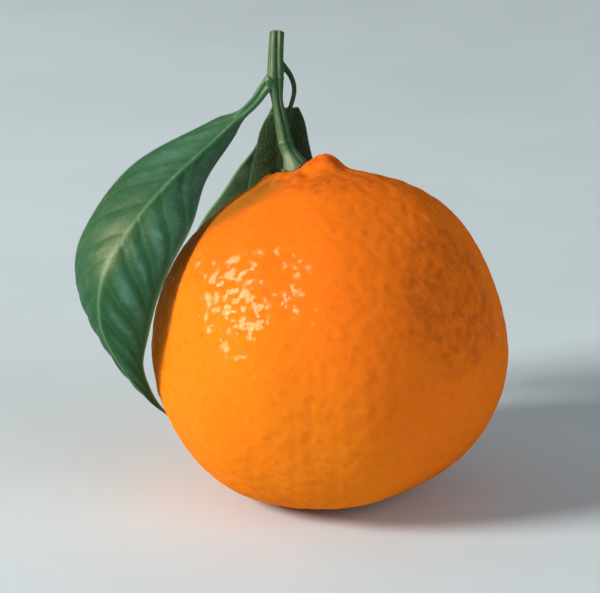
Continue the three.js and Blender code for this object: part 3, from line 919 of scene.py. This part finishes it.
def side_veins(u, v, count):
    """How much each point lies on a side vein, and how high it lies between two of them, both 0 to 1.

    A vein leaves the midrib, and the farther across it is, the farther along it has come: by a share of the
    distance across and of that distance's cube. The veins of the two halves are half a step apart.
    """
    reach = np.abs(v)
    place = count * (u ** 1.08 - 0.125 * reach - 0.055 * reach ** 3) + np.where(v > 0, 0.5, 0.0)
    place = place + 0.10 * np.sin(2.3 * np.floor(place + 0.5)) + 0.05 * np.sin(9 * reach + 3 * u)
    off = np.abs(place - np.round(place))
    fade = smooth(u, 0.03, 0.10) * (1 - smooth(u, 0.90, 0.98)) * (1 - smooth(reach, 0.84, 0.96))
    vein = bell(off, 0.045 + 0.02 * (1 - reach)) * fade
    quilt = (0.5 - 0.5 * np.cos(TURN * place)) * fade * smooth(reach, 0.02, 0.25)
    return vein, quilt


def leaf_skin(shape, leaves):
    """One leaf: a stalk that widens into the blade, thick at the midrib and thin at the edge.

    Each row is a loop: across the front from the left edge to the right one, and back across the rear. The
    rows of the stalk are round, those of the blade follow its ruled surface, and near the blade's start a
    row is a mix of the two.
    """
    blade = Blade(shape)
    start = [shape["root"], *shape["stalk"]]
    stalk = Path([*start, *blade.midrib.at([0.0, 0.05, 0.1, 0.15])])
    bar_length = Path([*start, blade.midrib.at(0.0)]).length
    bar_rows = max(16, int(leaves.rows * bar_length / (bar_length + blade.midrib.length)))
    blade_rows = leaves.rows - bar_rows
    tip = 1 - np.linspace(1, 0, blade_rows) ** 1.12
    u = np.concatenate([np.zeros(bar_rows), tip * 0.996])
    walked = np.concatenate([
        np.linspace(0, bar_length, bar_rows, endpoint=False), bar_length + tip * blade.midrib.length,
    ])
    across = np.linspace(-1, 1, leaves.columns + 1)
    grid_u, v = np.meshgrid(u, np.append(across, across[::-1]), indexing="ij")
    side = np.repeat([1.0, -1.0], len(across))
    lower = side > 0 if shape["front_is_lower"] else side < 0

    # The front and the rear of the stalk stop this share short of meeting, so that no points coincide.
    short = 0.0225 * math.pi
    bar_angle = (math.pi / 2) * (1 - v) * (1 - short) + short * math.pi / 4
    share = np.clip(walked / stalk.length, 0, 1)
    spread = blade.right.at(0.05) - blade.left.at(0.05)
    centre, sideways, _ = bar_frames(stalk, share, spread)
    facing = np.cross(stalk.heading(share), sideways)
    radius = shape["stalk_radius"] * (1 - 0.3 * share - 0.12 * smooth(share, 0, 0.3))
    radius = radius * (1 + 0.22 * bell(walked, 1.3))
    channel = 1 - 0.45 * bell(np.cos(bar_angle), 0.42) * (~lower)
    bar_side = (np.cos(bar_angle) * radius[:, None])[..., None] * sideways[:, None]
    bar_over = (side * np.sin(bar_angle) * channel * radius[:, None])[..., None] * facing[:, None]
    bar = centre[:, None] + bar_side + bar_over

    flat = blade.point(grid_u, v)
    front = blade.front(grid_u, v)
    distance = np.linalg.norm(flat - blade.midrib.at(grid_u), axis=2)
    vein, quilt = side_veins(grid_u, v, leaves.vein_count)
    quilted = shape["relief"] * leaves.quilt_height / MM * (quilt - 0.4) * (1 - np.abs(v) ** 6)
    midrib = bell(distance, 0.34) * (1 - 0.4 * grid_u)
    thin = 1 - 0.5 * np.abs(v) ** 10 - 0.35 * smooth(grid_u, 0.93, 1.0)
    half = leaves.thickness / MM / 2 * thin
    upper_relief = quilted - leaves.vein_depth / MM * vein * shape["relief"]
    upper_relief = upper_relief - GROOVE_DEPTH * bell(distance, GROOVE_WIDTH)
    rib = leaves.rib_height / MM * (1 - 0.9 * grid_u) * bell(distance, RIB_WIDTH)
    lower_relief = 0.10 * vein * shape["relief"] - 0.8 * quilted + rib
    offset = blade.bulge(grid_u, v) + side * (half + np.where(lower, lower_relief, upper_relief))
    sheet = flat + front * offset[..., None]

    blend = smooth(walked - bar_length, 0.0, shape["shoulder"] * blade.midrib.length)[:, None, None]
    grid = bar * (1 - blend) + sheet * blend
    blend = blend[..., 0]
    # The edge value is a painted highlight along the blade's edge and tip.
    edge = np.clip(bell(1 - np.abs(v), 0.045) + smooth(grid_u, 0.985, 1), 0, 1) * blend
    # Painted sheen between the side veins, mostly on the right half, painted light patches on the upper
    # left half, and painted light on the upper right half.
    painted_sheen_share = quilt ** 2 * bell(grid_u - 0.5, 0.2) * np.where(v > 0, 0.95, 0.15) * bell(np.abs(v) - 0.5, 0.35)
    painted_sheen_share = np.maximum(painted_sheen_share, 0.6 * bell(grid_u - 0.2, 0.13) * bell(v + 0.45, 0.4) * (0.4 + 0.6 * quilt))
    painted_sheen_share = np.maximum(painted_sheen_share, 0.5 * bell(grid_u - 0.22, 0.2) * smooth(v, 0.05, 0.35))
    values = {
        "vein": vein * blend,
        "midrib": midrib * blend + (1 - blend) * 0.55,
        "bloom": painted_sheen_share * blend * shape["painted_sheen_share"],
        "edge": edge,
        "lower": lower * 1.0,
        "across": np.sign(v) * distance * MM,
        "along": walked[:, None] * MM,
    }
    return Skin(grid, stalk.at(0), blade.point(np.array(1.0), np.array(0.0)), **values)


# ---- Operators ----

class MANDARIN_OT_rind(bpy.types.Operator):
    """Adds the whole fruit in its pored orange rind"""

    bl_idname = "mandarin.rind"
    bl_label = "Rind"

    def execute(self, context):
        settings = context.scene.mandarin_rind
        piece_from_skins("rind", [rind_skin(settings)], rind_look(settings), "fruit")
        return {"FINISHED"}


class MANDARIN_OT_calyx(bpy.types.Operator):
    """Adds the star of five sepals between the fruit and its stalk"""

    bl_idname = "mandarin.calyx"
    bl_label = "Calyx"

    def execute(self, context):
        settings = context.scene.mandarin_stalk
        piece_from_skins("sepals", [calyx_skin()], calyx_look(settings), "calyx")
        return {"FINISHED"}


class MANDARIN_OT_stalk(bpy.types.Operator):
    """Adds the woody stalk with its node and bud"""

    bl_idname = "mandarin.stalk"
    bl_label = "Stalk"

    def execute(self, context):
        settings = context.scene.mandarin_stalk
        skins = [stalk_skin(settings), bud_skin()]
        piece_from_skins("stalk", skins, bark_look(settings), "twig")
        return {"FINISHED"}


class MANDARIN_OT_leaves(bpy.types.Operator):
    """Adds the three leaves with their stalks and veins"""

    bl_idname = "mandarin.leaves"
    bl_label = "Leaves"

    def execute(self, context):
        settings = context.scene.mandarin_leaves
        for node, shape in LEAVES.items():
            name = node.replace("leaf", "blade")
            skin, look = leaf_skin(shape, settings), leaf_look(shape, settings)
            piece_from_skins(name, [skin], look, node)
        return {"FINISHED"}


class MANDARIN_OT_stage(bpy.types.Operator):
    """Adds the pale floor, the soft lights and the camera"""

    bl_idname = "mandarin.stage"
    bl_label = "Stage"

    def execute(self, context):
        stage = context.scene.mandarin_stage
        add_floor(stage)
        add_lights(context.scene, stage)
        add_camera(context.scene, stage)
        return {"FINISHED"}


def add_floor(stage):
    """A round flat floor: rings of points at growing radii, with one point in the middle."""
    angle = np.linspace(0, TURN, FLOOR_SIDES, endpoint=False)
    circle = np.stack([np.cos(angle), np.sin(angle), np.zeros(FLOOR_SIDES)], axis=-1)
    rings = np.array(FLOOR_RADII)[:, None, None] * circle
    quads, fan, _ = skin_faces(len(FLOOR_RADII), FLOOR_SIDES)
    mesh = bpy.data.meshes.new("floor")
    mesh.from_pydata([*rings.reshape(-1, 3), (0, 0, 0)], [], [*quads.tolist(), *fan.tolist()])
    mesh.materials.append(floor_look(stage))
    floor = bpy.data.objects.new("floor", mesh)
    bpy.context.scene.collection.objects.link(floor)


def add_lights(scene, stage):
    """Round lights that face the fruit, and a pale room.

    A soft key at the left, a weaker fill at the right and a weak rim behind the left side give the shading,
    and nothing mirrors them. The warm gloss light at the left is only mirrored.
    """
    for name, (width, distance, colour, side, hidden) in LIGHTS.items():
        light = bpy.data.lights.new(name, "AREA")
        light.shape = "DISK"
        light.size = width
        light.energy = getattr(stage, name + "_power")
        light.color = colour
        lamp = bpy.data.objects.new(name, light)
        towards = Vector(side).normalized()
        lamp.location = Vector(LIGHT_TARGET) + towards * distance
        lamp.rotation_euler = towards.to_track_quat("Z", "Y").to_euler()
        setattr(lamp, hidden, False)
        scene.collection.objects.link(lamp)
    world = bpy.data.worlds.new("pale_room")
    world.use_nodes = True
    background = world.node_tree.nodes["Background"]
    background.inputs["Color"].default_value = ROOM_COLOUR
    background.inputs["Strength"].default_value = stage.room_strength
    scene.world = world
    scene.view_settings.view_transform = "Standard"


def add_camera(scene, stage):
    """A long lens that looks down at the fruit from the front."""
    camera = bpy.data.cameras.new("camera")
    camera.lens = CAMERA_LENS
    camera.sensor_width = 36
    camera.clip_start = 0.01
    camera.clip_end = 20
    view = bpy.data.objects.new("camera", camera)
    back = Vector((0, -math.cos(stage.elevation), math.sin(stage.elevation)))
    view.location = Vector(CAMERA_TARGET) + back * stage.distance
    view.rotation_euler = (math.pi / 2 - stage.elevation, 0, 0)
    scene.collection.objects.link(view)
    scene.camera = view


class MANDARIN_PT_panel(bpy.types.Panel):
    """Lists the settings and the steps"""

    bl_label = "Mandarin"
    bl_idname = "MANDARIN_PT_panel"
    bl_space_type = "VIEW_3D"
    bl_region_type = "UI"
    bl_category = "Mandarin"

    def draw(self, context):
        for name, group in GROUPS.items():
            box = self.layout.box()
            for key in group.__annotations__:
                box.prop(getattr(context.scene, name), key)
        for operator in OPERATORS:
            self.layout.operator(operator.bl_idname)


GROUPS = {
    "mandarin_rind": RindSettings,
    "mandarin_stalk": StalkSettings,
    "mandarin_leaves": LeafSettings,
    "mandarin_stage": StageSettings,
}
OPERATORS = (
    MANDARIN_OT_rind, MANDARIN_OT_calyx, MANDARIN_OT_stalk, MANDARIN_OT_leaves, MANDARIN_OT_stage,
)


def register():
    for name, group in GROUPS.items():
        bpy.utils.register_class(group)
        setattr(bpy.types.Scene, name, PointerProperty(type=group))
    for operator in OPERATORS:
        bpy.utils.register_class(operator)
    bpy.utils.register_class(MANDARIN_PT_panel)


def unregister():
    bpy.utils.unregister_class(MANDARIN_PT_panel)
    for operator in reversed(OPERATORS):
        bpy.utils.unregister_class(operator)
    for name, group in GROUPS.items():
        delattr(bpy.types.Scene, name)
        bpy.utils.unregister_class(group)


def main():
    register()
    bpy.ops.mandarin.stage()
    bpy.ops.mandarin.rind()
    bpy.ops.mandarin.calyx()
    bpy.ops.mandarin.stalk()
    bpy.ops.mandarin.leaves()


if __name__ == "__main__":
    main()
